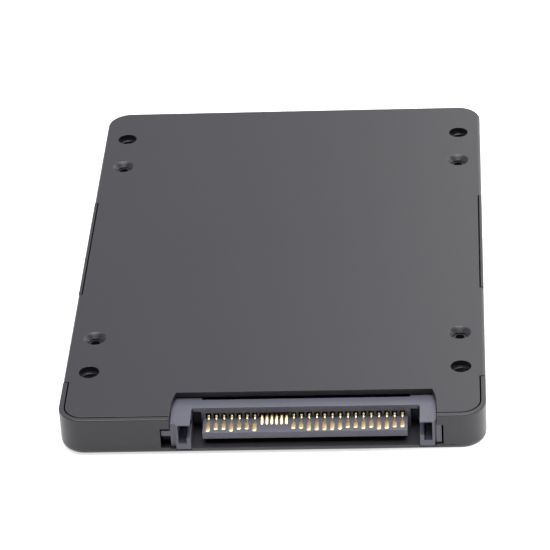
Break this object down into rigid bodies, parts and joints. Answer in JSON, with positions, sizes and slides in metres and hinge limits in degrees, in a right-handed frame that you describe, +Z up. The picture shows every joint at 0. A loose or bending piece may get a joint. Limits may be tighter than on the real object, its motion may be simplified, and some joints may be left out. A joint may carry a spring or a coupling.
{
  "type": "solid state drive",
  "caption": "Flat 2.5-inch solid state drive in a two-shell painted metal case, with tapped mounting holes and an exposed edge connector in a notch at one end.",
  "frame": {"origin": "middle of the label side, the face the drive rests on", "axes": "+Z up, from the label side to the face with the mounting holes; -Y towards the connector end; +X to the right when seen from the connector end"},
  "size_m": [0.0698, 0.1002, 0.007],
  "materials": {
    "case_paint": "satin",
    "connector_plastic": "satin",
    "gold_contacts": "polished",
    "circuit_board": "satin",
    "chip_resin": "matte",
    "capacitor_resin": "matte",
    "coil_ferrite": "matte",
    "ceramic_body": "satin",
    "resistor_body": "satin",
    "tinned_metal": "satin",
    "heat_pad": "matte",
    "screw_steel": "satin",
    "label_film": "satin"
  },
  "bodies": {
    "root": {"base_shell": "case_paint", "top_cover": "case_paint", "main_circuit_board": "circuit_board", "connector_housing": "connector_plastic", "signal_contacts": "gold_contacts", "power_contacts": "gold_contacts", "fine_contacts": "gold_contacts", "underside_contacts": "gold_contacts", "connector_board_locks": "tinned_metal", "upper_flash_chips": "chip_resin", "lower_flash_chips": "chip_resin", "controller_chip": "chip_resin", "memory_chips": "chip_resin", "hold_up_capacitors": "capacitor_resin", "power_coils": "coil_ferrite", "power_chip": "chip_resin", "voltage_regulators": "chip_resin", "boot_flash_chip": "chip_resin", "clock_crystal": "tinned_metal", "temperature_sensor": "chip_resin", "ceramic_capacitors": "ceramic_body", "chip_resistors": "resistor_body", "controller_heat_pad": "heat_pad", "memory_heat_pads": "heat_pad", "upper_flash_heat_pads": "heat_pad", "lower_flash_heat_pads": "heat_pad", "board_screws": "screw_steel", "blank_label": "label_film"}
  },
  "joints": []
}
